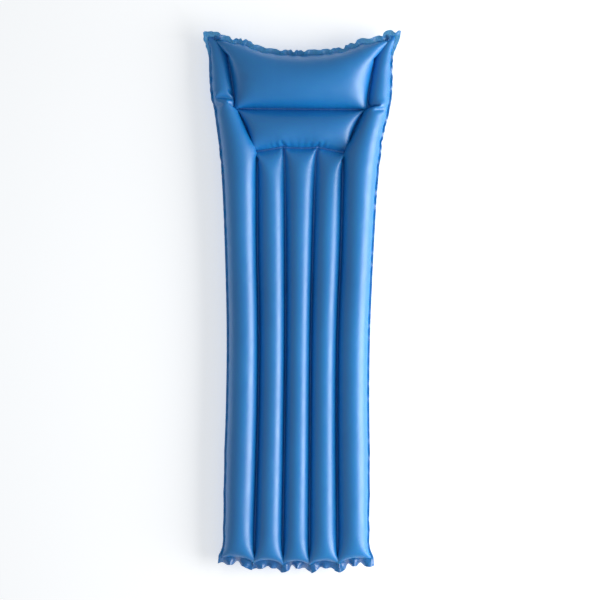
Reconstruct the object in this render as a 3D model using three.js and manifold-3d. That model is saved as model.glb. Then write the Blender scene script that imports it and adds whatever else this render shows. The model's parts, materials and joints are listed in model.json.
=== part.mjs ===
// Inflatable pool air mat: two welded vinyl films that form five lengthwise air tubes, a two-lobed pillow
// and a flat border all round, with two push-in safety valves on the underside. Millimetres, +Z up,
// +Y from the foot to the head, origin on the floor at the middle of the mat's outline.
import * as THREE from "three";
import { ParametricGeometry } from "three/addons/geometries/ParametricGeometry.js";
import { mergeVertices } from "three/addons/utils/BufferGeometryUtils.js";
import Module from "manifold-3d";

const wasm = await Module();
wasm.setup();

// Driving dimensions of the inflated mat.
const MID_Z = 50; // height of the plane that every weld lies in
const WALL = 3; // chamber wall, drawn thicker than the 0.25 mm film
const SHEET = 1; // two films welded flat, drawn thicker than they are
const GAP = 0.3; // between neighbours that touch
const WELD_HALF = 2; // half the width of a weld between two chambers
const WAIST_HALF = 224; // middle line to the border's seam at the waist
const HEAD_FLARE = 62; // how much further out that seam is at the pillow
const FOOT_FLARE = 11; // and at the foot
const FOOT_Y = -822; // foot seam
const HEAD_Y = 798; // head seam at the middle line
const HEAD_BOW = 39; // rise of the head seam at HEAD_BOW_X
const HEAD_BOW_X = 266;
const PILLOW_FOOT_Y = 498; // weld between the tubes and the pillow
const PILLOW_MID_Y = 622; // weld between the pillow's two lobes
const PASSAGE_LENGTH = 34; // foot air passage, from the tubes' open ends to the foot seam
const BORDER = { side: 11, head: 15, foot: 36 }; // flat border outside the seam
const HEAD_TIP = 24; // how far the head border's pointed ends reach beyond the side seam
const TUBE_HALF_HEIGHT = { side: 51.5, inner: 37, centre: 35, foot: 26 };
const PILLOW_HALF_HEIGHT = { upper: 60, lower: 44 };
// Middle lines of the four tube welds at the waist.
const WELD_X = [-126, -40, 40, 126];
const WELD_FAN = 0.17; // share by which the welds spread towards the pillow
// Half widths of the pillow: at the foot weld, the middle weld and the head seam.
const PILLOW_HALF = { foot: 147.5, middle: 213, head: 252 };

const VALVE = {
  seat: 2.6, // height of the flat seat above the floor
  ring: 18.5, // outer radius of the welded ring
  hole: 12.5, // hole in the film
  stem: 6, // outer radius of the stem
  bore: 4.1,
  depth: 13, // how far the stem reaches into the chamber when it is pushed in
};
const VALVES = {
  pillow: { x: -178, y: 712 },
  body: { x: 170, y: -560 },
};

const VINYL = new THREE.MeshStandardMaterial({ color: 0x1f6db3, roughness: 0.42, metalness: 0 });
const WELDED = new THREE.MeshStandardMaterial({ color: 0x1a5c9f, roughness: 0.35, metalness: 0 });
const CLEAR = new THREE.MeshStandardMaterial({ color: 0xc9dbe6, roughness: 0.28, metalness: 0 });

const { abs, cos, sin, sqrt, PI } = Math;
const lerp = (a, b, t) => a + (b - a) * t;
const smooth = (t) => THREE.MathUtils.smoothstep(t, 0, 1);

// Where along Y the outlines turn. Every piece that follows them has a section at each of these.
const TURNS = [-822, -760, -700, -620, -300, 0, 140, 240, 330, 400, 450, 498, 560, 622, 670, 730, 800, 900];
const turning = (curve) => (y) => {
  const i = Math.max(TURNS.findIndex((turn) => turn >= y), 1);
  return lerp(curve(TURNS[i - 1]), curve(TURNS[i]), (y - TURNS[i - 1]) / (TURNS[i] - TURNS[i - 1]));
};
const stations = (from, to, ...more) => {
  const between = [...TURNS, ...more].filter((y) => y > from + 3 && y < to - 3);
  return [from, ...between.sort((a, b) => a - b), to];
};

// Outlines in plan. The seam is where the inflated part ends and the flat border starts.
const seamX = turning(
  (y) => WAIST_HALF + HEAD_FLARE * smooth((y - 160) / 620) + FOOT_FLARE * smooth((-y - 600) / 220),
);
const headSeamY = (x) => HEAD_Y + HEAD_BOW * abs(x / HEAD_BOW_X) ** 2.2;
const fan = turning((y) => 1 + WELD_FAN * smooth((y - 150) / 350));
const tubeWeldX = (k, y) => WELD_X[k] * fan(y);
// The pillow's slanted side, as a distance from the middle line.
const PILLOW_TOP_Y = headSeamY(PILLOW_HALF.head);
const pillowSideX = (y) =>
  y < PILLOW_MID_Y
    ? lerp(PILLOW_HALF.foot, PILLOW_HALF.middle, (y - PILLOW_FOOT_Y) / (PILLOW_MID_Y - PILLOW_FOOT_Y))
    : lerp(PILLOW_HALF.middle, PILLOW_HALF.head, (y - PILLOW_MID_Y) / (PILLOW_TOP_Y - PILLOW_MID_Y));
const TUBE_FOOT_Y = FOOT_Y + PASSAGE_LENGTH;

// Solids. A geometry becomes a manifold-3d solid once its shared vertices are merged and the triangles
// that collapse at a point are gone.
function solid(geometry) {
  geometry.deleteAttribute("normal");
  geometry.deleteAttribute("uv");
  const merged = mergeVertices(geometry);
  const index = merged.index.array;
  const triangles = [];
  for (let i = 0; i < index.length; i += 3) {
    const [a, b, c] = index.subarray(i, i + 3);
    if (a !== b && b !== c && c !== a) triangles.push(a, b, c);
  }
  const make = (triVerts) =>
    new wasm.Manifold(
      new wasm.Mesh({
        numProp: 3,
        vertProperties: merged.attributes.position.array,
        triVerts: new Uint32Array(triVerts),
      }),
    );
  const made = make(triangles);
  return made.volume() > 0 ? made : make(triangles.reverse());
}

// A closed skin over a row of sections, each a function from an angle to a point.
function skin(sections, around) {
  const middle = (section) =>
    new THREE.Vector3(...section(0)).lerp(new THREE.Vector3(...section(PI)), 0.5).toArray();
  const rows = [() => middle(sections[0]), ...sections, () => middle(sections.at(-1))];
  const point = (u, v, target) => target.set(...rows[Math.round(v * (rows.length - 1))](u * 2 * PI));
  return solid(new ParametricGeometry(point, around, rows.length - 1));
}

// A flat sheet in the weld plane, from its outline in plan.
function sheet(outline) {
  const shape = new THREE.Shape(outline.map(([x, y]) => new THREE.Vector2(x, y)));
  const geometry = new THREE.ExtrudeGeometry(shape, { depth: SHEET, bevelEnabled: false });
  return solid(geometry.translate(0, 0, MID_Z - SHEET / 2));
}

function box([x0, y0, z0], [x1, y1, z1]) {
  const geometry = new THREE.BoxGeometry(x1 - x0, y1 - y0, z1 - z0);
  return solid(geometry.translate((x0 + x1) / 2, (y0 + y1) / 2, (z0 + z1) / 2));
}

// A round plug of material or air about the +Z direction, between two heights.
function disc(radius, x, y, z0, z1, sides = 20) {
  const geometry = new THREE.CylinderGeometry(radius, radius, z1 - z0, sides).rotateX(PI / 2);
  return solid(geometry.translate(x, y, (z0 + z1) / 2));
}

// A chamber: its skin pressed flat where it rests on the floor, around its air space.
const below = (z) => box([-500, -1000, -60], [500, 1000, z]);
const chamber = (outside, air) => outside.subtract(below(0)).subtract(air.subtract(below(WALL)));

function piece(name, made, material) {
  const { vertProperties, triVerts } = made.getMesh();
  const geometry = new THREE.BufferGeometry()
    .setAttribute("position", new THREE.BufferAttribute(vertProperties, 3))
    .setIndex(new THREE.BufferAttribute(triVerts, 1));
  geometry.computeVertexNormals();
  const mesh = new THREE.Mesh(geometry, material);
  mesh.name = name;
  return mesh;
}

// Chambers. A tube runs along Y between two edges in plan; inset shrinks it all round to give the air space.
function tube({ left, right, from, to, halfHeight, extra = [], around = 16 }, inset = 0) {
  const sections = stations(from, to, ...extra).map((y) => {
    const [x0, x1] = [left(y) + inset, right(y) - inset];
    const h = Math.max(halfHeight(y) - inset, 0.6);
    return (angle) => {
      const a = angle + PI / around;
      return [(x0 + x1) / 2 + ((x1 - x0) / 2) * cos(a), y, MID_Z + h * sin(a)];
    };
  });
  return skin(sections, around);
}

const evenly = (count) => Array.from({ length: count + 1 }, (_, i) => i / count);
// The way a welded end closes: full height away from it, none at the weld.
const closing = (distance, reach) => sqrt(1 - (1 - THREE.MathUtils.clamp(distance / reach, 0, 1)) ** 2);
// The way a tube narrows to the foot air passage.
const footTaper = (y, full) => lerp(TUBE_HALF_HEIGHT.foot, full, closing(y - TUBE_FOOT_Y, 60));

function innerTube(leftWeld, rightWeld, full) {
  const halfHeight = (y) => footTaper(y, full) * Math.max(closing(PILLOW_FOOT_Y - y, 34), 0.03);
  const shape = {
    left: (y) => tubeWeldX(leftWeld, y) + WELD_HALF + GAP,
    right: (y) => tubeWeldX(rightWeld, y) - WELD_HALF - GAP,
    from: TUBE_FOOT_Y + GAP,
    to: PILLOW_FOOT_Y - WELD_HALF - GAP,
    halfHeight,
    extra: [TUBE_FOOT_Y + 8, PILLOW_FOOT_Y - 26, PILLOW_FOOT_Y - 15, PILLOW_FOOT_Y - 8],
  };
  const air = { ...shape, from: shape.from - 5, to: shape.to - 8, around: 8 };
  return chamber(tube(shape), tube(air, WALL));
}

// The outer tube as far as the crease beside the pillow's middle weld.
const sideInner = (y) => (y < PILLOW_FOOT_Y ? tubeWeldX(3, y) : pillowSideX(y)) + WELD_HALF + GAP;
const sideEdges = (side) =>
  side < 0
    ? { left: (y) => -seamX(y), right: (y) => -sideInner(y) }
    : { left: sideInner, right: seamX };
const armHalfHeight = (y) => lerp(40, 24, (y - PILLOW_MID_Y) / 200);

function sideTube(side) {
  const crease = PILLOW_MID_Y - 6;
  const shape = {
    ...sideEdges(side),
    from: TUBE_FOOT_Y + GAP,
    to: crease,
    halfHeight: (y) => lerp(footTaper(y, TUBE_HALF_HEIGHT.side), 38, smooth((y - 470) / 140)),
    extra: [TUBE_FOOT_Y + 8, PILLOW_FOOT_Y],
  };
  const air = { ...shape, from: shape.from - 5, to: shape.to + 5, around: 8 };
  return chamber(tube(shape), tube(air, WALL));
}

// The narrower stretch beside the pillow's upper lobe, from the crease to the head corner.
function pillowArm(side) {
  const top = PILLOW_TOP_Y - 1;
  const shape = {
    ...sideEdges(side),
    from: PILLOW_MID_Y - 6 + GAP,
    to: top,
    halfHeight: (y) => armHalfHeight(y) * Math.max(closing(top - y, 40), 0.05),
    extra: [top - 30, top - 18, top - 9],
  };
  const air = { ...shape, from: shape.from - 5, to: shape.to - 9, around: 8 };
  return chamber(tube(shape), tube(air, WALL));
}

// A pillow lobe spans from side to side between a lower and an upper edge in plan.
function lobe({ lowerY, upperY, lowerHalf, upperHalf, halfHeight, around = 16 }, inset = 0) {
  const spread = [0, 0.015, 0.05, 0.12, 0.3, 0.5, 0.7, 0.88, 0.95, 0.985, 1];
  const sections = spread.map((share) => {
    const u = 2 * share - 1;
    const h = Math.max(halfHeight * sqrt(1 - abs(u) ** 6) - inset, 0.6);
    return (angle) => {
      const w = (1 + cos(angle + PI / around)) / 2;
      const x = u * (lerp(lowerHalf, upperHalf, w) - inset);
      const y = lerp(lowerY + inset, upperY(x) - inset, w);
      return [x, y, MID_Z + h * sin(angle + PI / around)];
    };
  });
  return skin(sections, around);
}

const CLEAR_OF_WELD = WELD_HALF + GAP;
const UPPER_LOBE = {
  lowerY: PILLOW_MID_Y + CLEAR_OF_WELD,
  upperY: headSeamY,
  lowerHalf: pillowSideX(PILLOW_MID_Y) - CLEAR_OF_WELD,
  upperHalf: pillowSideX(PILLOW_TOP_Y) - CLEAR_OF_WELD,
  halfHeight: PILLOW_HALF_HEIGHT.upper,
};
const LOWER_LOBE = {
  lowerY: PILLOW_FOOT_Y + CLEAR_OF_WELD,
  upperY: () => PILLOW_MID_Y - CLEAR_OF_WELD,
  lowerHalf: pillowSideX(PILLOW_FOOT_Y + CLEAR_OF_WELD) - CLEAR_OF_WELD,
  upperHalf: pillowSideX(PILLOW_MID_Y - CLEAR_OF_WELD) - CLEAR_OF_WELD,
  halfHeight: PILLOW_HALF_HEIGHT.lower,
};
// The middle weld stops short of the pillow's sides, so that air passes from lobe to lobe.
const AIR_WAY_X = 196;
function airWays() {
  const way = (x) =>
    solid(new THREE.CylinderGeometry(4, 4, 36, 10).translate(x, PILLOW_MID_Y, MID_Z));
  return way(-AIR_WAY_X).add(way(AIR_WAY_X));
}
const pillowLobe = (shape) =>
  chamber(lobe(shape), lobe({ ...shape, around: 10 }, WALL)).subtract(airWays());

// The flattened channel that joins all five tubes at the foot.
function footPassage() {
  const half = seamX(FOOT_Y) - 1;
  const wedge = (inset, open) => {
    const y1 = TUBE_FOOT_Y + open;
    const h = TUBE_HALF_HEIGHT.foot - inset;
    const outline = [0.5, 0.8, 0.95, 1].map((t) => [
      lerp(y1, FOOT_Y + inset * 2, t), // towards the seam
      h * closing(1.02 - t, 1) + 0.2,
    ]);
    const shape = new THREE.Shape();
    shape.moveTo(y1, h);
    outline.forEach(([y, z]) => shape.lineTo(y, z));
    outline.reverse().forEach(([y, z]) => shape.lineTo(y, -z));
    shape.lineTo(y1, -h);
    shape.closePath();
    const long = 2 * (half - inset);
    const geometry = new THREE.ExtrudeGeometry(shape, { depth: long, bevelEnabled: false });
    // The outline is drawn in Y and Z, so turn it to stand across the mat.
    const turn = new THREE.Matrix4().set(0, 0, 1, -long / 2, 1, 0, 0, 0, 0, 1, 0, MID_Z, 0, 0, 0, 1);
    return solid(geometry.applyMatrix4(turn));
  };
  return wedge(0, 0).subtract(wedge(WALL, 4));
}

// Flat welds and borders.
function strip(centre, from, to, half = WELD_HALF) {
  const ys = stations(from, to);
  return sheet([
    ...ys.map((y) => [centre(y) - half, y]),
    ...ys.reverse().map((y) => [centre(y) + half, y]),
  ]);
}
const sideWeld = (side) =>
  strip((y) => side * pillowSideX(y), PILLOW_FOOT_Y + 5, headSeamY(250) - 12, WELD_HALF - 0.2);
const across = (y, half) =>
  sheet([
    [-half, y - WELD_HALF],
    [half, y - WELD_HALF],
    [half, y + WELD_HALF],
    [-half, y + WELD_HALF],
  ]);

function sideBorder(side) {
  const ys = stations(FOOT_Y + 10, headSeamY(HEAD_BOW_X) - 4);
  const inner = ys.map((y) => [side * (seamX(y) + GAP), y]);
  const outer = ys.map((y) => [side * (seamX(y) + BORDER.side), y]).reverse();
  return sheet([...inner, ...outer]);
}
function endBorder(seam, width, half, direction) {
  const xs = evenly(14).map((t) => lerp(-half, half, t));
  const inner = xs.map((x) => [x, seam(x) + direction * GAP]);
  const outer = xs.map((x) => [x, seam(x) + direction * width]).reverse();
  return sheet([...inner, ...outer]);
}
const CORNER = seamX(HEAD_Y) + HEAD_TIP;
const headBorder = () => endBorder(headSeamY, BORDER.head, CORNER, 1);
const footBorder = () => endBorder(() => FOOT_Y, BORDER.foot, seamX(FOOT_Y) + BORDER.side, -1);

// Valves. Each is drawn with +Z pointing out of the mat and its seat at z = 0, then turned to face the floor.
function lathe(profile, sides = 20) {
  const points = [...profile, profile[0]].map(([r, z]) => new THREE.Vector2(r, z));
  return solid(new THREE.LatheGeometry(points, sides).rotateX(PI / 2));
}
const PLUG_HINGE_X = 8.4;

function valveRing() {
  const { ring, hole } = VALVE;
  return lathe([[hole, GAP], [ring, GAP], [ring, 0.9], [ring - 1, 1.5], [hole, 1.5]]);
}
function valveDiaphragm() {
  const inner = VALVE.stem + 1.3;
  const [rim, low] = [VALVE.hole - GAP, 3 - VALVE.depth];
  const outside = [[inner, low - 0.8], [inner + 1.5, low - 0.8], [rim, -0.6], [rim, 0.6]];
  return lathe([...outside, [rim - 0.9, 0.6], [inner + 1, low], [inner, low]]);
}
function valveStem() {
  const { stem, bore, depth } = VALVE;
  const outside = [[bore, -depth], [stem, -depth], [stem, -2.4], [stem + 1, -2.4], [stem + 1, -1]];
  const hingeLug = box([stem - 1, -2.5, -2.4], [PLUG_HINGE_X - 0.9, 2.5, -1]);
  return lathe([...outside, [bore + 0.6, -1], [bore, -1.6]]).add(hingeLug);
}
const valveFlap = () => disc(5, 0, 0, -VALVE.depth - 1.1, -VALVE.depth - GAP, 16);
function valvePlug() {
  const head = lathe([[0, -4.2], [2.5, -4.2], [3.7, -0.8], [6.9, -0.7], [6.9, 0.5], [6.2, 0.9], [0, 0.9]]);
  return head.add(box([-10.5, -2.5, -0.1], [-6, 2.5, 0.9]));
}
const plugStrap = () => box([7.2, -2.2, -0.4], [PLUG_HINGE_X + 0.4, 2.2, 0.8]);

// A chamber with the thick seat, and the hole, that a valve is welded into.
const reinforced = (shell, { x, y }) =>
  shell
    .add(disc(21, x, y, 1.5, VALVE.seat + WALL))
    .subtract(disc(VALVE.ring + GAP, x, y, -5, VALVE.seat, 24))
    .subtract(disc(VALVE.hole, x, y, -5, 30));

const mat = new THREE.Group();
mat.add(
  piece("side_tube_left", sideTube(-1), VINYL),
  piece("side_tube_right", reinforced(sideTube(1), VALVES.body), VINYL),
  piece("pillow_arm_left", pillowArm(-1), VINYL),
  piece("pillow_arm_right", pillowArm(1), VINYL),
  piece("inner_tube_left", innerTube(0, 1, TUBE_HALF_HEIGHT.inner), VINYL),
  piece("centre_tube", innerTube(1, 2, TUBE_HALF_HEIGHT.centre), VINYL),
  piece("inner_tube_right", innerTube(2, 3, TUBE_HALF_HEIGHT.inner), VINYL),
  piece("foot_air_passage", footPassage(), VINYL),
  piece("pillow_upper_lobe", reinforced(pillowLobe(UPPER_LOBE), VALVES.pillow), VINYL),
  piece("pillow_lower_lobe", pillowLobe(LOWER_LOBE), VINYL),
  piece("pillow_middle_weld", across(PILLOW_MID_Y, AIR_WAY_X - 8), WELDED),
  piece("pillow_foot_weld", across(PILLOW_FOOT_Y, PILLOW_HALF.foot - 6), WELDED),
  piece("pillow_side_weld_left", sideWeld(-1), WELDED),
  piece("pillow_side_weld_right", sideWeld(1), WELDED),
  piece("side_border_left", sideBorder(-1), WELDED),
  piece("side_border_right", sideBorder(1), WELDED),
  piece("head_border", headBorder(), WELDED),
  piece("foot_border", footBorder(), WELDED),
);
WELD_X.forEach((_, k) => {
  const weld = strip((y) => tubeWeldX(k, y), TUBE_FOOT_Y + 12, PILLOW_FOOT_Y - WELD_HALF - GAP);
  mat.add(piece(`tube_weld_${k + 1}`, weld, WELDED));
});

for (const [name, { x, y }] of Object.entries(VALVES)) {
  const valve = new THREE.Group();
  valve.position.set(x, y, VALVE.seat);
  valve.rotation.x = PI;
  valve.add(
    piece(`${name}_valve_ring`, valveRing(), CLEAR),
    piece(`${name}_valve_diaphragm`, valveDiaphragm(), CLEAR),
    piece(`${name}_valve_stem`, valveStem(), CLEAR),
    piece(`${name}_valve_flap`, valveFlap(), CLEAR),
    piece(`${name}_valve_plug`, valvePlug(), CLEAR),
    piece(`${name}_valve_strap`, plugStrap(), CLEAR),
  );
  mat.add(valve);
}

// Centre the outline's length on the origin.
const footEnd = FOOT_Y - BORDER.foot;
const headEnd = headSeamY(CORNER) + BORDER.head;
mat.position.y = -(footEnd + headEnd) / 2;

export default mat;
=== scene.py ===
"""An inflatable pool air mat, lying flat on a pale floor and seen straight from above.

The two vinyl films are cut flat, welded along the real weld lines and then blown up by a small film
solver, so the tubes, the pillow and the puckers at the welds come out of the pattern itself. The border
outside the seam is then laid out in waves.
"""

import json
import math

import bpy
import numpy as np
from mathutils import Matrix, Vector
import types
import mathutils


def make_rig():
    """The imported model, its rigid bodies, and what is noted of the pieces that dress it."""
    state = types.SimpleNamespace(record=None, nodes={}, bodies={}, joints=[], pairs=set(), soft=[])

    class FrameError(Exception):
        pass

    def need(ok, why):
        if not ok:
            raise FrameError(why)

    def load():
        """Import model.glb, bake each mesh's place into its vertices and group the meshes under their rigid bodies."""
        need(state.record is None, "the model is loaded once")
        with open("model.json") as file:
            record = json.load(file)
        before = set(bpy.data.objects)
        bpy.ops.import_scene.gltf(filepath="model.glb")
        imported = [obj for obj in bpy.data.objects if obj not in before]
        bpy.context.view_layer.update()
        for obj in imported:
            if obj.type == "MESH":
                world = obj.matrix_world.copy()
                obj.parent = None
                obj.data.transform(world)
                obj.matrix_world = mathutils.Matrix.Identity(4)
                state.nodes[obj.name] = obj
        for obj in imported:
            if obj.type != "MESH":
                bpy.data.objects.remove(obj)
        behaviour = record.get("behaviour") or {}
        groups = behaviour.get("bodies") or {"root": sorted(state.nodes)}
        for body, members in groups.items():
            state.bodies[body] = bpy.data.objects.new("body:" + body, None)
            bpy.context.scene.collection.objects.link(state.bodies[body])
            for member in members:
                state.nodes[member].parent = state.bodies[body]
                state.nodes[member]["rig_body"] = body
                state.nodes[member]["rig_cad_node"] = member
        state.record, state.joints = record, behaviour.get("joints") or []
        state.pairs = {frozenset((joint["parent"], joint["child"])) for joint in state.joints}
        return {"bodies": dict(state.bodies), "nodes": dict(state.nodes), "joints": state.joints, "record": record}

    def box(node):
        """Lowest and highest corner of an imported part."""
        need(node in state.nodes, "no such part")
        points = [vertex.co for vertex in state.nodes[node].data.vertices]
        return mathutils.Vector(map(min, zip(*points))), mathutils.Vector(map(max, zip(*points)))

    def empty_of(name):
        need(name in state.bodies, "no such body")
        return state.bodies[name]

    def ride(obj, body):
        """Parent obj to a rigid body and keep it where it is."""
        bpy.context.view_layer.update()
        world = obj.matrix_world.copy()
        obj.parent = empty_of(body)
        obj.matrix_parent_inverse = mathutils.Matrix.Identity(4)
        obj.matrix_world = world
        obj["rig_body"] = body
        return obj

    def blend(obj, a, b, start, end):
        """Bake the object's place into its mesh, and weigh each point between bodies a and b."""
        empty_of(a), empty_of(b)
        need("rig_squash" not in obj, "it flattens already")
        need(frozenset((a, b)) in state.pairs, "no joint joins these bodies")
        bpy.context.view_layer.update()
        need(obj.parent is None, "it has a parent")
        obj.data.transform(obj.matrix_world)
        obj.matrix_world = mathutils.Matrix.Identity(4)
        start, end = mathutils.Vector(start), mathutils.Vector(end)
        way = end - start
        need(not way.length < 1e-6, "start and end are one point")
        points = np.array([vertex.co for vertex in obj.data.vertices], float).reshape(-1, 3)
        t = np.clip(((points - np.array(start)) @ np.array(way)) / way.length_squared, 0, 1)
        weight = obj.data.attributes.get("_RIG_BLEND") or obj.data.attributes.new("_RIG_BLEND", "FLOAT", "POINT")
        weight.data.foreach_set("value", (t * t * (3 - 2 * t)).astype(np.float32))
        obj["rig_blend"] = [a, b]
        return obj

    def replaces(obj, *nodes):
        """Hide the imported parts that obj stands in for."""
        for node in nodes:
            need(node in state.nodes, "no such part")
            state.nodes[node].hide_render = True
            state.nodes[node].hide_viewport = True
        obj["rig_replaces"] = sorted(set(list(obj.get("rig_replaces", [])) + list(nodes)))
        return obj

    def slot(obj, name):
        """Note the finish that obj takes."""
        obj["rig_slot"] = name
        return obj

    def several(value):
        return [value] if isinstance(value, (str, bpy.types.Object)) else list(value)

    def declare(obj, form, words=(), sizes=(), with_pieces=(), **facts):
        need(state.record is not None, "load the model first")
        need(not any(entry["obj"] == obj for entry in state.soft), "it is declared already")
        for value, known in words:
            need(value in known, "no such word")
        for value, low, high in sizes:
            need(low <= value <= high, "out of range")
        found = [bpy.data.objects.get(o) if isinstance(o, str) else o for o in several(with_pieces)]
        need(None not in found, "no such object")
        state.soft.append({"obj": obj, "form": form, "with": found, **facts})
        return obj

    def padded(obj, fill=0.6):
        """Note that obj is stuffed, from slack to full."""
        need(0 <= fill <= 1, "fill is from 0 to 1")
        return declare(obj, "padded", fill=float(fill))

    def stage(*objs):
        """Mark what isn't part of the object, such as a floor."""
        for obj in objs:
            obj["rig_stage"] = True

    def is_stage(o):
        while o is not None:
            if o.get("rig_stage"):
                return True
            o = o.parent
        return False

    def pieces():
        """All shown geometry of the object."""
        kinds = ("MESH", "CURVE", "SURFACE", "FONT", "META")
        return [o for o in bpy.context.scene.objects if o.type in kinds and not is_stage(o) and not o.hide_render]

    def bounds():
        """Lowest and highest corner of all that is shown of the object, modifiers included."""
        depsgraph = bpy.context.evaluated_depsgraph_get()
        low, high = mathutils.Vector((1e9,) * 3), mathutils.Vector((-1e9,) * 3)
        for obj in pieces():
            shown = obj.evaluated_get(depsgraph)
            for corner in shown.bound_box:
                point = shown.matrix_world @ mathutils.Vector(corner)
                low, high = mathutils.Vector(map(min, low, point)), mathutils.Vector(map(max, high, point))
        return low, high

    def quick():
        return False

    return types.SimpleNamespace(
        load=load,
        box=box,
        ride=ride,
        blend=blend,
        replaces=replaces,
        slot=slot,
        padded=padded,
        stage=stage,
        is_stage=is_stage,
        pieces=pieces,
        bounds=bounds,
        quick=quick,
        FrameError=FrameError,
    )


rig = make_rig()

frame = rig.load()
sizes = {"cad": [list(map(float, v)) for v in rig.bounds()]}
F = np.float32  # the film solver works in single precision

# ---------------------------------------------------------------------------------------------------
# The flat pattern, in millimetres. Both films have this outline and these weld lines.
# ---------------------------------------------------------------------------------------------------
# Length of each stretch of the pattern, from the foot's edge to the head's.
ROWS = dict(foot_border=26.0, passage=12.0, body=1320.0, pillow_foot_weld=5.0, lower_lobe=149.0,
            middle_weld=5.0, upper_lobe=226.0, head_border=18.0)
WELD = 5.0  # width of a weld
FAN = 430.0  # length over which the tubes narrow towards the pillow
LOBE_GAP = 15.0  # way between the pillow's lobes at each end of the middle weld
ARM_Y = 1512.0  # where the arms beside the pillow pass its middle weld

# Distances from the middle line to the inner weld's line, the outer weld's line and the side seam.
INNER_AT = (59.0, 54.0, 85.0)  # waist, pillow foot, head
OUTER_AT = (188.0, 161.0, 214.0, 290.0)  # waist, pillow foot, middle weld, head
FOOT_SEAM_AT = (319.0, 330.0, 337.0, 340.0)  # foot, then at FOOT_SEAM_Y
FOOT_SEAM_Y = (130.0, 250.0, 390.0)
SEAM_AT = (336.0, 330.0, 322.0, 349.0)  # waist, pillow foot, middle weld, head

# The border's width at the sides, and how its ends are cut.
BORDER_AT = (10.0, 6.0, 7.0, 15.0)  # foot end, waist, below the head, head end
BORDER_FLARE = 60.0  # length over which it widens at each end
HEAD_EDGE = ((0, 60, 130, 200, 260, 300, 353), (0, 1, 6, 16, 12, 4, -6))  # how far it stands out, over x
RIGHT_LONGER = 14.0  # how much further the head's right corner reaches than its left one
HEAD_HALF = 350.0  # half the head's width
FOOT_BOW = 17.0  # how much nearer the head the foot's corners are than its middle
FOOT_HALF = 320.0  # half the foot's width
BOW_REACH = 400.0  # length over which the bow fades

# How hard a shortened edge pushes back, as a share of how hard a stretched one pulls.
PUSH_BACK = dict(film=0.6, foot_film=0.1, weld=0.2, foot_weld=0.04)
FINE_PUCKERS = 70.0  # this far past the foot border, the film puckers too finely for the grid
SMOOTH_ARM = ((60, 260), (0.15, 0.6))  # the right arm's push-back, over the distance from ARM_Y
ARM_FROM = 170.0  # the right arm lies beyond this distance from the middle line

# The border's waves: length in metres, swing and lean in radians. A lean of zero lies level.
SIDE_WAVE = 0.048
SIDE_SWING = ((0.0, 0.1, 1.0, 1.5, 1.72), (0.7, 0.3, 0.3, 0.7, 0.7))  # over the distance from the foot
FOOT_WAVE, FOOT_SWING, FOOT_LEAN = 0.060, 0.55, -0.3
HEAD_WAVE, HEAD_SWING, HEAD_LEAN = 0.042, 0.75, 0.4

# The valves, in metres: their middles on the underside and the flat seats that they are welded to.
VALVES = {k: np.array(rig.box(f"{k}_valve_ring")).mean(0)[:2] for k in ("pillow", "body")}
SEAT = 0.0026  # height of the seat
SLOPE_END, SLOPE = 0.060, 0.038  # outer radius and width of the slope from the seat up to the tube's skin
HOLE = 0.0145  # radius of the hole in the lower film under the valve's ring


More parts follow.
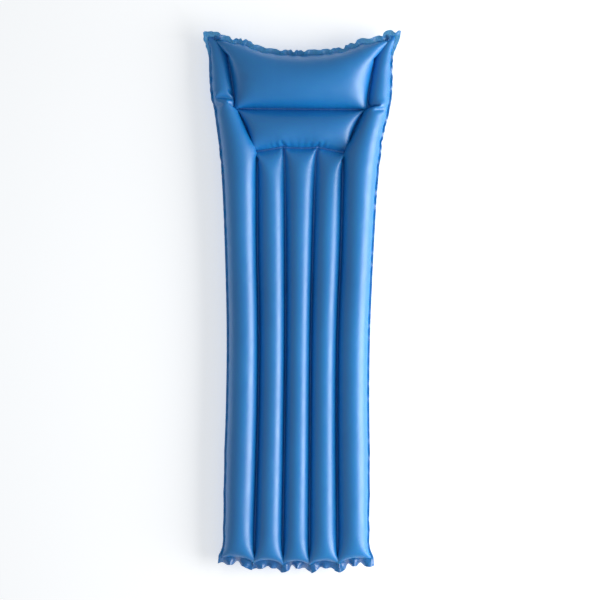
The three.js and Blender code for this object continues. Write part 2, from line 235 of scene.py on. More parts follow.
def pattern(step):
    """The pattern as a grid of about `step` mm whose lines follow the welds.

    Each row lies at one distance from the foot. Along it, every weld line and seam has its own distance
    from the middle line, a straight-line blend between the sizes above, and the points between two lines
    are spread evenly. The tubes narrow by the square of the distance into the fan. The head's and foot's
    edges are then bent by amounts that grow towards them."""
    cells = lambda span: max(1, round(span / step))
    counts = [max(2, cells(length)) if "border" in name else 1 if name.endswith("weld") else cells(length)
              for name, length in ROWS.items()]
    row = dict(zip([*ROWS, "end"], np.cumsum([0] + counts)))
    starts = np.cumsum([0.0] + list(ROWS.values()))
    ys = np.concatenate([[0.0]] + [np.linspace(start, end, n + 1)[1:]
                                   for start, end, n in zip(starts, starts[1:], counts)])
    foot, middle, head = (ys[row[k]] for k in ("pillow_foot_weld", "middle_weld", "head_border"))
    fan = np.clip((ys - foot + FAN) / FAN, 0, 1) ** 2
    inner = np.where(ys < foot, INNER_AT[0] + (INNER_AT[1] - INNER_AT[0]) * fan,
                     np.interp(ys, [foot, head], INNER_AT[1:]))
    outer = np.where(ys < foot, OUTER_AT[0] + (OUTER_AT[1] - OUTER_AT[0]) * fan,
                     np.interp(ys, [foot, middle, head], OUTER_AT[1:]))
    seam = np.interp(ys, [ys[row["passage"]], *FOOT_SEAM_Y, foot - FAN, foot, middle, head],
                     FOOT_SEAM_AT + SEAM_AT)
    border = np.interp(ys, [0, BORDER_FLARE, head - BORDER_FLARE, head], BORDER_AT)
    anchors = [np.zeros_like(ys), inner, inner + WELD, outer, outer + WELD, seam, seam + border]
    spans = [cells(INNER_AT[0]), 1, cells(OUTER_AT[0] - INNER_AT[0] - WELD), 1,
             cells(FOOT_SEAM_AT[-1] - OUTER_AT[0] - WELD), max(2, cells(BORDER_AT[1]))]
    half = [anchors[0][:, None]]
    for a, b, n in zip(anchors, anchors[1:], spans):
        half.append(a[:, None] + (b - a)[:, None] * np.arange(1, n + 1) / n)
    half = np.concatenate(half, 1)
    x = np.concatenate([-half[:, :0:-1], half], 1)
    y = np.repeat(ys[:, None], x.shape[1], 1)
    y += np.clip((ys - middle) / (head - middle), 0, 1)[:, None] * np.interp(abs(x), *HEAD_EDGE)
    y += np.clip((ys - foot) / (head - foot), 0, 1)[:, None] * np.clip(x / HEAD_HALF, 0, 1) * RIGHT_LONGER
    y += np.clip(1 - ys / BOW_REACH, 0, 1)[:, None] * abs(x / FOOT_HALF) ** 2.5 * FOOT_BOW
    mid = half.shape[1] - 1
    col = dict(zip(("inner", "inner_end", "outer", "outer_end", "seam", "edge"), np.cumsum(spans)))
    welded = np.zeros(x.shape, bool)
    welded[:row["passage"] + 1] = welded[row["head_border"]:] = True
    tubes = slice(row["body"], row["lower_lobe"])
    for near, far, rows in (("seam", "edge", slice(None)), ("inner", "inner_end", tubes),
                            ("outer", "outer_end", slice(row["body"], None))):
        welded[rows, mid + col[near]:mid + col[far] + 1] = True
        welded[rows, mid - col[far]:mid - col[near] + 1] = True
    across = slice(mid - col["outer"], mid + col["outer"] + 1)
    welded[row["pillow_foot_weld"]:row["lower_lobe"] + 1, across] = True
    gap = cells(LOBE_GAP)
    across = slice(mid - col["outer"] + gap, mid + col["outer"] - gap + 1)
    welded[row["middle_weld"]:row["upper_lobe"] + 1, across] = True
    return dict(x=x, y=y, welded=welded, row=row, col=col, mid=mid, step=step)


def edges(shape):
    """Pairs of slices joining each point to its neighbours, with a weight: 1 along the rows and columns,
    a half along the cells' diagonals. No two edges of a pair share a point, so they are moved at once."""
    rows, cols = shape
    out = []
    for c in (0, 1):
        out.append((np.s_[..., :, c:cols - 1:2], np.s_[..., :, c + 1:cols:2], 1.0))
        out.append((np.s_[..., c:rows - 1:2, :], np.s_[..., c + 1:rows:2, :], 1.0))
    for c in (0, 1):
        out.append((np.s_[..., c:rows - 1:2, :-1], np.s_[..., c + 1:rows:2, 1:], 0.5))
        out.append((np.s_[..., c:rows - 1:2, 1:], np.s_[..., c + 1:rows:2, :-1], 0.5))
    return out


def inflate(flat, p, steps, pressure, settle, speed, even=0):
    """Blows the two films up: p is (xyz, film, row, column), in millimetres. `settle` is the weight and the
    pull to the middle height, and `speed` is the most that a point moves in a step.

    Every step adds to each point's speed the pressure times the area that faces outward, less the fourth
    difference of its place along each grid line (bending stiffness), less its weight and a pull to the
    middle height. Each edge is then brought back towards its flat length, half from either end and times
    its weight, and a shortened edge by its share of push-back only. The first `even` rows are kept the
    same left and right."""
    welded = flat["welded"]
    loose = (1 - welded).astype(F)
    rest = np.stack([flat["x"], flat["y"]]).astype(F)
    groups = []
    for a, b, weight in edges(welded.shape):
        length = np.sqrt(((rest[b] - rest[a]) ** 2).sum(0)).astype(F)
        # Film buckles instead of squeezing, near the foot seam and in the border too finely for the grid.
        near_foot = np.minimum(flat["y"][a], flat["y"][b]) < ROWS["foot_border"] + FINE_PUCKERS
        on_weld = welded[a] & welded[b]
        in_film = np.where(near_foot, PUSH_BACK["foot_film"], PUSH_BACK["film"])
        push_back = np.where(on_weld, PUSH_BACK["weld"], in_film).astype(F)
        push_back = np.where(on_weld & near_foot, PUSH_BACK["foot_weld"], push_back).astype(F)
        # The right arm is stretched smooth past the pillow's middle weld; the left one creases there.
        smooth = np.interp(abs(flat["y"][a] - ARM_Y), *SMOOTH_ARM)
        push_back = np.where(flat["x"][a] > ARM_FROM, np.minimum(smooth, push_back), push_back).astype(F)
        groups.append((a, b, F(weight / 2), length, push_back))
    push = F(pressure / flat["step"] ** 2)
    bending, damping, middle_height = F(0.003), F(0.97), 50
    v = np.zeros_like(p)
    for _ in range(steps):
        dx, dy = np.gradient(p, axis=3), np.gradient(p, axis=2)
        n = np.cross(dx, dy, axis=0)
        n[:, 1] *= -1
        v += n * (push * loose)
        v[2] -= F(settle) + F(settle / 3) * ((p[2, :1] + p[2, 1:]) / 2 - middle_height)
        v[..., 2:-2] -= bending * (6 * p[..., 2:-2] - 4 * (p[..., 1:-3] + p[..., 3:-1])
                                   + p[..., :-4] + p[..., 4:])
        v[..., 2:-2, :] -= bending * (6 * p[..., 2:-2, :] - 4 * (p[..., 1:-3, :] + p[..., 3:-1, :])
                                      + p[..., :-4, :] + p[..., 4:, :])
        v *= damping
        q = p + v
        for a, b, weight, length, push_back in groups:
            d = q[b] - q[a]
            s = weight * (1 - length / (np.sqrt((d * d).sum(0)) + F(1e-9)))
            d *= np.where(s < 0, push_back * s, s)
            q[a] += d
            q[b] -= d
        both = (q[:, :1] + q[:, 1:]) / 2
        q = np.where(welded, both, q)
        q[2] = np.maximum(q[2], 0)
        rows = q[:, :, :even]
        q[:, :, :even] = (rows + rows[..., ::-1] * np.array([-1, 1, 1], F)[:, None, None, None]) / 2
        v = np.clip(q - p, -speed, speed)
        p = p + v
    return p


def finer(p, coarse, fine):
    """The shape p on the coarse pattern, read off at the points of a finer one. Weld lines and seams keep
    their places. Between them a point is the straight-line blend of the four coarse points round it."""
    def place(key, size):
        """For each row or column of the finer pattern, the coarse one below it and the share beyond it."""
        marks = lambda f: ([f["mid"] + s * f["col"][k] for s in (-1, 1) for k in f["col"]] + [f["mid"]]
                           if key == "col" else list(f["row"].values()))
        a, b = np.sort(marks(fine)), np.sort(marks(coarse))
        at = np.interp(np.arange(fine["x"].shape[size]), a, b)
        base = np.minimum(at.astype(int), coarse["x"].shape[size] - 2)
        return base, at - base
    (i, u), (j, w) = place("row", 0), place("col", 1)
    u, w = u[:, None], w[None]
    pick = lambda di, dj: p[:, :, i + di][..., j + dj]
    low = pick(0, 0) * (1 - w) + pick(0, 1) * w
    return (low * (1 - u) + (pick(1, 0) * (1 - w) + pick(1, 1) * w) * u).astype(F)


def between(values, axis, weights=(-1, 9, 9, -1)):
    """The array with a point added between every two along `axis`: nine sixteenths of each neighbour,
    less one sixteenth of each of the next two. `weights` are the sixteenths."""
    values = np.moveaxis(values, axis, 0)
    padded = np.concatenate([2 * values[:1] - values[1:2], values, 2 * values[-1:] - values[-2:-1]])
    n = len(values) - 1
    middle = sum(w / 16 * padded[k:k + n] for k, w in enumerate(weights))
    out = np.empty((2 * n + 1,) + values.shape[1:], values.dtype)
    out[::2], out[1::2] = values, middle
    return np.moveaxis(out, 0, axis)


def refined(flat, p):
    """Twice as fine a grid over the same shape. The flat places are halved straight and the blown-up ones
    along a smooth curve, and the two films are averaged at every weld so that they stay joined."""
    straight = (0, 8, 8, 0)
    x, y = (between(between(flat[k], 0, straight), 1, straight) for k in "xy")
    welded = between(between(flat["welded"].astype(float), 0, straight), 1, straight) > 0.99
    p = between(between(p, 2), 3)
    p = np.where(welded, (p[:, :1] + p[:, 1:]) / 2, p)
    double = lambda marks: {k: 2 * v for k, v in marks.items()}
    return dict(x=x, y=y, welded=welded, row=double(flat["row"]), col=double(flat["col"]),
                mid=2 * flat["mid"], step=flat["step"] / 2), p


def ripples(along, wave, rng):
    """A wavy line: a sine of the distance over `wave`, whose phase and height are shifted by four slower
    sines, so its waves vary in length and height along the line."""
    slow = [np.sin(2 * np.pi * along / (wave * k) + rng.uniform(0, 6.3)) for k in (2.3, 3.7, 6.1, 4.3)]
    return np.sin(2 * np.pi * along / wave + 0.45 * sum(slow[:3])) * (0.75 + 0.35 * slow[3])


def outward(line):
    """Unit vectors in plan, square to a line of points (xyz, film, point): the step between the points
    `reach` before and after, turned a quarter to the left and divided by its length."""
    reach = min(15, line.shape[-1] // 4)
    ends = np.pad(line[:2], ((0, 0), (0, 0), (reach, reach)), "edge")
    along = ends[..., 2 * reach:] - ends[..., :-2 * reach]
    normal = np.stack([-along[1], along[0], 0 * along[0]])
    return normal / (np.linalg.norm(normal, axis=0) + 1e-9)


def ruffle(flat, p, rng):
    """Lays the border out from the seam, in long waves at the foot, shorter ones at the head and faint
    ones down the sides. A point is the seam's point plus its flat distance from the seam, along the outward
    direction times the cosine of the lift and upward times its sine, so the border keeps its width."""
    row, col, mid = (flat[k] for k in ("row", "col", "mid"))
    up = np.array([0, 0, 1.0])[:, None, None]
    x, y = flat["x"] / 1000, flat["y"] / 1000
    for side in (-1, 1):
        seam = mid + side * col["seam"]
        out = outward(p[..., seam]) * -side
        along = y[:, 0]
        lift = np.interp(along, *SIDE_SWING) * ripples(along, SIDE_WAVE, rng)
        for j in range(col["seam"] + 1, col["edge"] + 1):
            width = abs(x[:, mid + side * j] - x[:, seam])
            p[..., mid + side * j] = p[..., seam] + width * (np.cos(lift) * out + np.sin(lift) * up)
    ends = ((row["passage"], 0, -1, FOOT_WAVE, FOOT_SWING, FOOT_LEAN),
            (row["head_border"], row["end"], 1, HEAD_WAVE, HEAD_SWING, HEAD_LEAN))
    for seam, end, way, wave, swing, lean in ends:
        out = outward(p[:, :, seam]) * way
        lift = lean + swing * ripples(x[seam], wave, rng)
        for i in range(seam + way, end + way, way):
            width = abs(y[i] - y[seam])
            p[:, :, i] = p[:, :, seam] + width * (np.cos(lift) * out + np.sin(lift) * up)


def blown_up():
    """Flat pattern and inflated shape, in metres: a coarse stage that is even left and right below the
    pillow, then a finer one that is free to pucker. Both start a little uneven, so that the film has
    somewhere to buckle. Round each valve the lower film is drawn to the seat's height: all the way inside
    the slope, and by a smooth step (three times the square less twice the cube) across it."""
    rng = np.random.default_rng(5)
    flat, fine = pattern(11.5), pattern(5.75)
    p = np.zeros((3, 2) + flat["x"].shape, F)
    p[0], p[1] = flat["x"] * 0.97, flat["y"] - flat["y"].mean()
    p[2] = 25 + np.array([4, -4])[:, None, None] * ~flat["welded"] + rng.normal(0, 0.5, flat["x"].shape)
    p = inflate(flat, p, steps=1300, pressure=0.03, settle=0.0012, speed=1.0,
                even=flat["row"]["pillow_foot_weld"] - 8)
    p = finer(p, flat, fine)
    p[2] += rng.normal(0, 0.3, fine["x"].shape)
    p = inflate(fine, p, steps=60 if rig.quick() else 400, pressure=0.012, settle=0.0006, speed=0.5)
    p[1] -= (p[1].max() + p[1].min()) / 2
    p[0] -= (p[0].max() + p[0].min()) / 2
    fine, p = refined(fine, p / 1000)
    p[2] -= p[2].min()
    for x, y in VALVES.values():
        r = np.hypot(p[0, 1] - x, p[1, 1] - y)
        level = np.clip((SLOPE_END - r) / SLOPE, 0, 1)
        level = level ** 2 * (3 - 2 * level)
        p[2, 1] += (SEAT - p[2, 1]) * level
    return fine, p


def ruffled(flat, p):
    """The same shape on a grid twice as fine, with its border in waves, and nothing lower than half a
    millimetre above the floor."""
    flat, p = refined(flat, p)
    ruffle(flat, p, np.random.default_rng(8))
    p[2] = np.maximum(p[2], 0.0005)
    return flat, p


# ---------------------------------------------------------------------------------------------------
# Mesh helpers
# ---------------------------------------------------------------------------------------------------
def mesh_object(name, verts, faces, material, uv=None):
    """A smooth mesh object at the origin, from whole arrays of corners, faces and flat places (uv)."""
    mesh = bpy.data.meshes.new(name)
    mesh.from_pydata(np.asarray(verts, float).tolist(), [], [tuple(int(i) for i in f) for f in faces])
    if uv is not None:
        layer = mesh.uv_layers.new(name="flat")
        index = np.empty(len(mesh.loops), np.int32)
        mesh.loops.foreach_get("vertex_index", index)
        layer.data.foreach_set("uv", np.asarray(uv, float)[index].ravel())
    mesh.polygons.foreach_set("use_smooth", [True] * len(mesh.polygons))
    mesh.materials.append(material)
    obj = bpy.data.objects.new(name, mesh)
    bpy.context.scene.collection.objects.link(obj)
    return obj


def nearness(flat, axis, reach=45.0):
    """How near a weld is along `axis` over the flat film: the square of one less the distance over `reach`
    (mm), so 1 at a weld and 0 at `reach` or further."""
    far = np.where(flat["welded"], 0.0, reach)
    far, step = np.moveaxis(far, axis, 0), flat["step"]
    for _ in range(int(reach / step)):
        far[1:] = np.minimum(far[1:], far[:-1] + step)
        far[:-1] = np.minimum(far[:-1], far[1:] + step)
    return np.moveaxis((1 - far / reach) ** 2, 0, axis)


def film_pieces(flat, p):
    """Splits the two films at the welds. Returns {piece: (corners, quads, flat coordinates, nearness to a
    weld along and across)}: the body and pillow chambers as closed skins, the welds and the border. A cell
    whose four corners are welded is one quad; any other is a quad of the upper film and one of the lower,
    left out where its middle is within the valve's hole."""
    welded, row, col, mid = (flat[k] for k in ("welded", "row", "col", "mid"))
    rows, cols = welded.shape
    top = np.arange(rows * cols).reshape(rows, cols)
    bottom = np.where(welded, top, top + rows * cols)
    quad = lambda n: np.stack([n[:-1, :-1], n[:-1, 1:], n[1:, 1:], n[1:, :-1]], -1)
    up, down = quad(top), quad(bottom)[..., ::-1]
    flat_cell = (up == down[..., ::-1]).all(-1)
    i, j = np.indices(flat_cell.shape)
    centre = sum(p[:2, 1, a:rows - 1 + a, b:cols - 1 + b] for a in (0, 1) for b in (0, 1)) / 4
    for x, y in VALVES.values():
        down[np.hypot(centre[0] - x, centre[1] - y) < HOLE] = -1
    border = ((i < row["passage"]) | (i >= row["head_border"]) | (j >= mid + col["seam"])
              | (j < mid - col["seam"]))
    pillow = ((i >= row["lower_lobe"]) & (i < row["head_border"]) & (j >= mid - col["outer"])
              & (j < mid + col["outer"]))
    kept = lambda where: down[where & (down[..., 0] >= 0)]
    parts = dict(
        body_chamber=np.concatenate([up[~flat_cell & ~pillow], kept(~flat_cell & ~pillow)]),
        pillow_chamber=np.concatenate([up[~flat_cell & pillow], kept(~flat_cell & pillow)]),
        tube_and_pillow_welds=up[flat_cell & ~border],
        border=up[border],
    )
    corners = p.transpose(1, 2, 3, 0).reshape(-1, 3)
    uv = np.tile(np.stack([flat["x"], flat["y"]], -1).reshape(-1, 2) / 1000, (2, 1))
    near = np.tile(np.stack([nearness(flat, 1), nearness(flat, 0)], -1).reshape(-1, 2), (2, 1))
    out = {}
    for name, quads in parts.items():
        used, quads = np.unique(quads, return_inverse=True)
        out[name] = corners[used], quads.reshape(-1, 4), uv[used], near[used]
    return out


def rounded(profile, radius):
    """A closed profile with each corner cut off `radius` from its point, or nearly halfway along a shorter
    side, and bridged through the middle of the two cuts and the corner."""
    p = np.array(profile, float)
    out = []
    for before, here, after in zip(np.roll(p, 1, 0), p, np.roll(p, -1, 0)):
        a, b = before - here, after - here
        cut = [min(radius, 0.45 * np.hypot(*v)) / (np.hypot(*v) + 1e-9) for v in (a, b)]
        start, end = here + a * cut[0], here + b * cut[1]
        out += [start, (start + end + 2 * here) / 4, end]
    return out


def lathe(profile, radius=0.2, sides=64):
    """A solid of revolution about +Z: `profile` is a closed loop of (radius, height) in millimetres, and a
    point is the radius times the cosine and sine of the turn, and the height."""
    r, z = np.array(rounded(profile, radius)).T
    turn = np.arange(sides) * 2 * np.pi / sides
    verts = np.stack([np.outer(np.cos(turn), r), np.outer(np.sin(turn), r), np.tile(z, (sides, 1))], -1)
    k = len(r)
    a, b = np.meshgrid(np.arange(sides), np.arange(k), indexing="ij")
    at = lambda a, b: (a % sides) * k + b % k
    quads = np.stack([at(a, b), at(a + 1, b), at(a + 1, b + 1), at(a, b + 1)], -1).reshape(-1, 4)
    return verts.reshape(-1, 3), quads


def band(line, width, thick, radius=0.15):
    """A flat strap along `line` in X and Z (mm): a rounded box, `width` wide along Y and `thick` thick,
    carried along the line square to its direction and closed at both ends."""
    line = np.array(line, float)
    along = np.gradient(line, axis=0)
    square = np.stack([-along[:, 1], along[:, 0]], 1) / np.hypot(*along.T)[:, None]
    loop = np.array(rounded([(-width / 2, -thick / 2), (width / 2, -thick / 2), (width / 2, thick / 2),
                             (-width / 2, thick / 2)], radius))
    y = np.tile(loop[:, 0], (len(line), 1))
    xz = line[:, None] + square[:, None] * loop[None, :, 1:]
    verts = np.stack([xz[..., 0], y, xz[..., 1]], -1).reshape(-1, 3)
    k = len(loop)
    a, b = np.meshgrid(np.arange(len(line) - 1), np.arange(k), indexing="ij")
    at = lambda a, b: a * k + b % k
    quads = np.stack([at(a, b), at(a, b + 1), at(a + 1, b + 1), at(a + 1, b)], -1).reshape(-1, 4).tolist()
    return verts, quads + [list(range(k))[::-1], [(len(line) - 1) * k + i for i in range(k)]]


def joined(*shapes):
    """Several shapes as one list of corners and faces."""
    verts, faces, n = [], [], 0
    for v, f in shapes:
        verts.append(np.asarray(v))
        faces += [[int(i) + n for i in face] for face in f]
        n += len(v)
    return np.concatenate(verts), faces


# ---------------------------------------------------------------------------------------------------
# Materials
# ---------------------------------------------------------------------------------------------------
def material(name):
    """A new node material, its node tree and its Principled BSDF."""
    made = bpy.data.materials.new(name)
    made.use_nodes = True
    return made, made.node_tree, made.node_tree.nodes["Principled BSDF"]


def node(tree, kind, **settings):
    """A shader node with its inputs (by name) and its properties set."""
    made = tree.nodes.new("ShaderNode" + kind)
    for key, value in settings.items():
        if key in made.inputs:
            made.inputs[key].default_value = value
        else:
            setattr(made, key, value)
    return made


def noise(tree, vector, scale, detail=2.0, stretch=None):
    """A noise texture's value over `vector`, which `stretch` scales along each axis."""
    if stretch:
        scaled = node(tree, "VectorMath", operation="MULTIPLY")
        scaled.inputs[1].default_value = stretch
        tree.links.new(vector, scaled.inputs[0])
        vector = scaled.outputs[0]
    made = node(tree, "TexNoise", Scale=scale, Detail=detail)
    tree.links.new(vector, made.inputs["Vector"])
    return made.outputs["Fac"]


def maths(tree, operation, a, b):
    """a `operation` b, where each is a socket or a number."""
    made = node(tree, "Math", operation=operation)
    for socket, value in zip(made.inputs, (a, b)):
        if isinstance(value, (int, float)):
            socket.default_value = value
        else:
            tree.links.new(value, socket)
    return made.outputs[0]


def ramp(tree, value, low, high, a, b):
    """`value` from low..high mapped onto a..b and held there."""
    made = node(tree, "MapRange", **{"From Min": low, "From Max": high, "To Min": a, "To Max": b})
    tree.links.new(value, made.inputs["Value"])
    return made.outputs["Result"]


def tint(tree, value, dark, light):
    """A colour between dark and light, by a value from 0 to 1."""
    made = node(tree, "Mix", data_type="RGBA")
    made.inputs["A"].default_value, made.inputs["B"].default_value = (*dark, 1), (*light, 1)
    tree.links.new(value, made.inputs["Factor"])
    return made.outputs["Result"]


def vinyl(name, dark, light, roughness):
    """Rolled film. Its colour drifts slowly between `dark` and `light`. Round the pillow's valve it is darker: a
    painted shadow of the valve, seen through the film. Its roughness varies with handling marks. Its height is a fine
    pressed grain, plus noise drawn out away from each weld times the nearness to it, plus slow dents."""
    made, tree, bsdf = material(name)
    link = tree.links.new
    place = node(tree, "TexCoord").outputs["Object"]
    uv = node(tree, "UVMap", uv_map="flat").outputs["UV"]
    near = {k: node(tree, "Attribute", attribute_name=k).outputs["Fac"] for k in ("long", "cross")}
    drift = ramp(tree, noise(tree, place, 3.5, 3.0), 0.3, 0.7, 0.0, 1.0)
    # Painted shadow: within 10 mm of the pillow's valve the colour is pulled towards `dark`, fading out by 19 mm, for
    # the valve's shadow seen through the film.
    apart = node(tree, "VectorMath", operation="DISTANCE")
    flattened = node(tree, "VectorMath", operation="MULTIPLY")
    link(place, flattened.inputs[0])
    flattened.inputs[1].default_value = (1.0, 1.0, 0.0)
    link(flattened.outputs[0], apart.inputs[0])
    apart.inputs[1].default_value = (*VALVES["pillow"], 0.0)
    painted_valve_shadow = ramp(tree, apart.outputs["Value"], 0.010, 0.019, 0.35, 1.0)
    link(tint(tree, maths(tree, "MULTIPLY", drift, painted_valve_shadow), dark, light), bsdf.inputs["Base Color"])
    smudge = noise(tree, place, 16.0, 6.0)
    link(ramp(tree, smudge, 0.3, 0.7, roughness - 0.04, roughness + 0.06), bsdf.inputs["Roughness"])
    grain = maths(tree, "MULTIPLY", noise(tree, uv, 1100.0, 1.0), 0.00006)
    along = maths(tree, "MULTIPLY", noise(tree, uv, 1.0, 2.0, (9.0, 95.0, 1.0)), near["long"])
    across = maths(tree, "MULTIPLY", noise(tree, uv, 1.0, 2.0, (95.0, 9.0, 1.0)), near["cross"])
    pucker = maths(tree, "MULTIPLY", maths(tree, "ADD", along, across), 0.0022)
    dents = maths(tree, "MULTIPLY", noise(tree, place, 11.0, 2.0), 0.0016)
    height = maths(tree, "ADD", maths(tree, "ADD", grain, pucker), dents)
    bump = node(tree, "Bump", Strength=1.0, Distance=1.0)
    link(height, bump.inputs["Height"])
    link(bump.outputs["Normal"], bsdf.inputs["Normal"])
    bsdf.inputs["IOR"].default_value = 1.5
    bsdf.inputs["Specular IOR Level"].default_value = 1.0
    bsdf.inputs["Subsurface Weight"].default_value = 0.2
    bsdf.inputs["Subsurface Radius"].default_value = (0.002, 0.006, 0.02)
    bsdf.inputs["Subsurface Scale"].default_value = 1.0
    return made


def see_through(made, low, high, colour):
    """Lets light from behind glow through a film: a share `high` at the head, where the border stands clear
    of the pillow, and `low` elsewhere."""
    tree = made.node_tree
    axes = node(tree, "SeparateXYZ")
    tree.links.new(node(tree, "TexCoord").outputs["Object"], axes.inputs[0])
    share = ramp(tree, axes.outputs["Y"], 0.76, 0.80, low, high)
    glow = node(tree, "BsdfTranslucent", Color=(*colour, 1.0))
    mix = node(tree, "MixShader")
    out = tree.nodes["Material Output"].inputs["Surface"]
    tree.links.new(share, mix.inputs[0])
    tree.links.new(tree.nodes["Principled BSDF"].outputs["BSDF"], mix.inputs[1])
    tree.links.new(glow.outputs["BSDF"], mix.inputs[2])
    tree.links.new(mix.outputs["Shader"], out)


def emboss(made):
    """Adds the weld bar's crossed lines to a film: the greater of two sines that run at 45 degrees over the
    flat film, with their crests 1.6 mm apart."""
    period = 0.0023  # of each sine, measured along the film's width
    tree = made.node_tree
    bsdf = tree.nodes["Principled BSDF"]
    uv = node(tree, "UVMap", uv_map="flat").outputs["UV"]
    axes = node(tree, "SeparateXYZ")
    tree.links.new(uv, axes.inputs[0])
    lines = None
    for sign in (1.0, -1.0):
        slant = maths(tree, "ADD", axes.outputs["X"], maths(tree, "MULTIPLY", axes.outputs["Y"], sign))
        wave = maths(tree, "SINE", maths(tree, "MULTIPLY", slant, 2 * math.pi / period), 0.0)
        lines = wave if lines is None else maths(tree, "MAXIMUM", lines, wave)
    bump = node(tree, "Bump", Strength=1.0, Distance=1.0)
    tree.links.new(maths(tree, "MULTIPLY", lines, 0.00004), bump.inputs["Height"])
    tree.links.new(bsdf.inputs["Normal"].links[0].from_socket, bump.inputs["Normal"])
    tree.links.new(bump.outputs["Normal"], bsdf.inputs["Normal"])


def moulded(name, dark, light):
    """Soft milky valve vinyl: clouding in its colour, a fine uneven skin and finger grease in its gloss."""
    made, tree, bsdf = material(name)
    link = tree.links.new
    place = node(tree, "TexCoord").outputs["Object"]
    cloud = ramp(tree, noise(tree, place, 160.0, 4.0), 0.3, 0.7, 0.0, 1.0)
    link(tint(tree, cloud, dark, light), bsdf.inputs["Base Color"])
    link(ramp(tree, noise(tree, place, 90.0, 5.0), 0.3, 0.7, 0.22, 0.36), bsdf.inputs["Roughness"])
    bump = node(tree, "Bump", Strength=1.0, Distance=1.0)
    link(maths(tree, "MULTIPLY", noise(tree, place, 700.0, 2.0), 0.0001), bump.inputs["Height"])
    link(bump.outputs["Normal"], bsdf.inputs["Normal"])
    bsdf.inputs["Subsurface Weight"].default_value = 0.25
    bsdf.inputs["Subsurface Radius"].default_value = (0.002, 0.003, 0.004)
    return made


film = vinyl("blue_vinyl_film", dark=(0.002, 0.20, 0.55), light=(0.003, 0.235, 0.62), roughness=0.40)
weld_film = vinyl("welded_vinyl", dark=(0.002, 0.09, 0.36), light=(0.003, 0.12, 0.44), roughness=0.5)
emboss(weld_film)
border_film = vinyl("border_vinyl", dark=(0.002, 0.10, 0.34), light=(0.003, 0.13, 0.42), roughness=0.32)
see_through(border_film, low=0.04, high=0.52, colour=(0.5, 0.84, 1.0))
milky = moulded("milky_valve_vinyl", dark=(0.50, 0.60, 0.66), light=(0.62, 0.71, 0.76))

# ---------------------------------------------------------------------------------------------------
# The films
# ---------------------------------------------------------------------------------------------------
flat, shape = blown_up()
skins = film_pieces(flat, shape)
skins["border"] = film_pieces(*ruffled(flat, shape))["border"]
STANDS_FOR = dict(
    body_chamber=["side_tube_left", "side_tube_right", "pillow_arm_left", "pillow_arm_right",
                  "inner_tube_left", "centre_tube", "inner_tube_right", "foot_air_passage"],
    pillow_chamber=["pillow_upper_lobe", "pillow_lower_lobe"],
    tube_and_pillow_welds=["tube_weld_1", "tube_weld_2", "tube_weld_3", "tube_weld_4", "pillow_middle_weld",
                           "pillow_foot_weld", "pillow_side_weld_left", "pillow_side_weld_right"],
    border=["side_border_left", "side_border_right", "head_border", "foot_border"],
)
for name, (corners, quads, uv, near) in skins.items():
    inflated = name.endswith("chamber")
    finish = film if inflated else border_film if name == "border" else weld_film
    piece = mesh_object(name, corners, quads, finish, uv)
    for key, values in zip(("long", "cross"), near.T):
        piece.data.attributes.new(key, "FLOAT", "POINT").data.foreach_set("value", values.astype(F))
    if not inflated:
        doubled = piece.modifiers.new("two films", "SOLIDIFY")
        doubled.thickness, doubled.offset = 0.0006, 0.0
    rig.ride(piece, "mat")
    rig.replaces(piece, *STANDS_FOR[name])
    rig.slot(piece, "blue_vinyl" if inflated else "welded_vinyl")
    if inflated:
        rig.padded(piece, fill=0.95)

# ---------------------------------------------------------------------------------------------------
# The valves, drawn in millimetres with +Z pointing out of the mat and the film's face at zero. The solids
# of revolution are (radius, height); the strap and the plug's tab are lines in (X, Z).
# ---------------------------------------------------------------------------------------------------
RING = [(12.3, 0.1), (18.6, 0.1), (18.6, 0.7), (17.6, 1.0), (16.9, 0.8), (14.6, 0.8), (13.9, 1.5),
        (12.3, 1.5)]
DIAPHRAGM = [(7.2, -10.9), (8.9, -10.9), (10.2, -7.2), (10.9, -3.4), (12.3, -0.7), (12.3, 1.3),
             (11.4, 1.1), (10.2, -3.2), (9.3, -7.0), (8.2, -10.0), (7.2, -10.0)]
STEM = [(4.1, -13), (7.2, -13), (7.4, -10.9), (6.2, -10.2), (6.0, -2.4), (7.0, -2.3), (7.0, -1.0),
        (4.7, -1.0), (4.1, -1.7)]
PLUG = [(0.01, -2.6), (1.7, -2.7), (1.9, -4.2), (2.6, -4.2), (3.7, -0.8), (6.9, -0.6), (6.9, 0.6),
        (6.0, 0.9), (2.6, 0.9), (2.0, 0.5), (0.01, 0.5)]
FLAP = [(0.01, -14.0), (4.9, -14.0), (4.9, -13.4), (0.01, -13.4)]
STRAP = [(6.6, -1.7), (7.6, -1.8), (8.6, -1.6), (9.2, -0.9), (9.2, 0.0), (8.5, 0.5), (7.5, 0.55),
         (6.4, 0.45)]
TAB = [(-6.3, 0.3), (-8.0, 0.3), (-9.2, 0.45), (-10.6, 0.55)]
PLUG_HINGE_X = 8.4  # where the strap bends, from the valve's middle


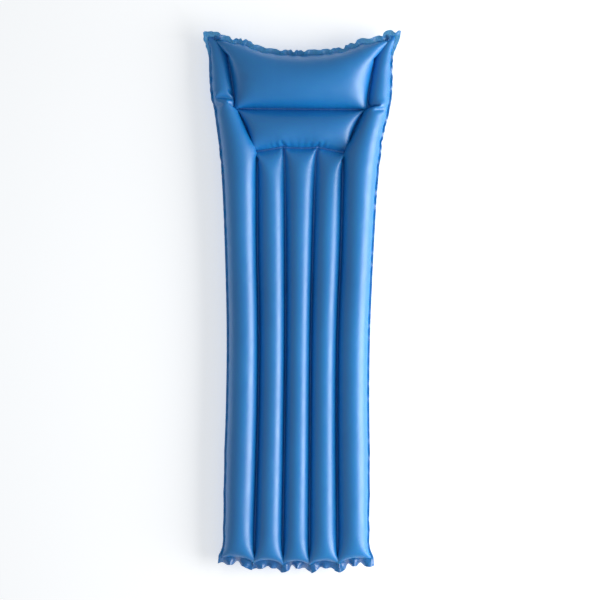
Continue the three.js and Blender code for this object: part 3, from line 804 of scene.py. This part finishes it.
def valve(name, x, y):
    """The six mouldings of one valve, each on the body that its CAD node is on. A point drawn in the
    valve's millimetres is turned over, scaled to metres and set on the seat's middle."""
    middle = np.array([x, y, SEAT])
    at = lambda px, pz: tuple(middle + np.array([px, 0, -pz]) / 1000)

    def part(kind, shape, body):
        """One moulding from its drawn shape, fixed to `body` unless it bends between two."""
        verts = middle + np.asarray(shape[0]) * (0.001, -0.001, -0.001)
        piece = mesh_object(f"{name}_{kind}", verts, shape[1], milky)
        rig.replaces(piece, f"{name}_valve_{kind}")
        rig.slot(piece, "clear_valve")
        if body:
            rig.ride(piece, body)
        return piece

    part("ring", lathe(RING), "mat")
    part("stem", lathe(STEM), f"{name}_stem")
    part("flap", lathe(FLAP, 0.1), f"{name}_flap")
    part("plug", joined(lathe(PLUG), band(TAB, 4.6, 0.9)), f"{name}_plug")
    strap = part("strap", band(STRAP, 4.4, 0.7), None)
    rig.blend(strap, f"{name}_stem", f"{name}_plug", at(PLUG_HINGE_X, -1.5), at(PLUG_HINGE_X, 0.5))
    diaphragm = part("diaphragm", lathe(DIAPHRAGM, 0.3), None)
    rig.blend(diaphragm, "mat", f"{name}_stem", at(10, 0.6), at(10, -10))


for name, (x, y) in VALVES.items():
    valve(name, x, y)

# ---------------------------------------------------------------------------------------------------
# Floor, light and camera
# ---------------------------------------------------------------------------------------------------
floor = mesh_object("floor", [(-40, -40, 0), (40, -40, 0), (40, 40, 0), (-40, 40, 0)], [(0, 1, 2, 3)],
                    material("floor")[0])
floor.location.z = -0.002
floor_bsdf = floor.data.materials[0].node_tree.nodes["Principled BSDF"]
for name, value in (("Base Color", (0.85, 0.85, 0.85, 1)), ("Roughness", 0.9), ("Specular IOR Level", 0.1),
                    ("Emission Color", (1, 1, 1, 1)), ("Emission Strength", 0.48)):
    floor_bsdf.inputs[name].default_value = value
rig.stage(floor)


def soft_box(name, place, size, power):
    """A rectangular lamp at `place`, turned so that it faces the mat's middle."""
    light = bpy.data.lights.new(name, "AREA")
    light.shape, (light.size, light.size_y) = "RECTANGLE", size
    light.energy = power
    obj = bpy.data.objects.new(name, light)
    obj.location = place
    obj.rotation_euler = (-Vector(place)).to_track_quat("-Z", "Y").to_euler()
    bpy.context.scene.collection.objects.link(obj)


soft_box("key", place=(2.1, -0.30, 0.95), size=(2.6, 1.7), power=82.0)
world = bpy.data.worlds.new("studio")
bpy.context.scene.world = world
world.use_nodes = True
world.node_tree.nodes["Background"].inputs["Color"].default_value = (0.88, 0.94, 1.0, 1)
world.node_tree.nodes["Background"].inputs["Strength"].default_value = 0.38

LENS, SENSOR = 85.0, 36.0  # mm
HALF_VIEW, AT_HEIGHT = 0.96, 0.05  # half the width in view, at this height above the floor
camera = bpy.data.objects.new("camera", bpy.data.cameras.new("camera"))
camera.data.lens, camera.data.sensor_width = LENS, SENSOR
above = HALF_VIEW / math.tan(math.atan(SENSOR / 2 / LENS)) + AT_HEIGHT
roll = Matrix.Rotation(math.radians(0.6), 4, "Z")
camera.matrix_world = Matrix.Translation((0.0054, 0.0032, above)) @ roll
bpy.context.scene.collection.objects.link(camera)
bpy.context.scene.camera = camera
bpy.context.scene.view_settings.view_transform = "Standard"

sizes["visual"] = [list(map(float, v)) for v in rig.bounds()]
json.dump(sizes, open("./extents.json", "w"))
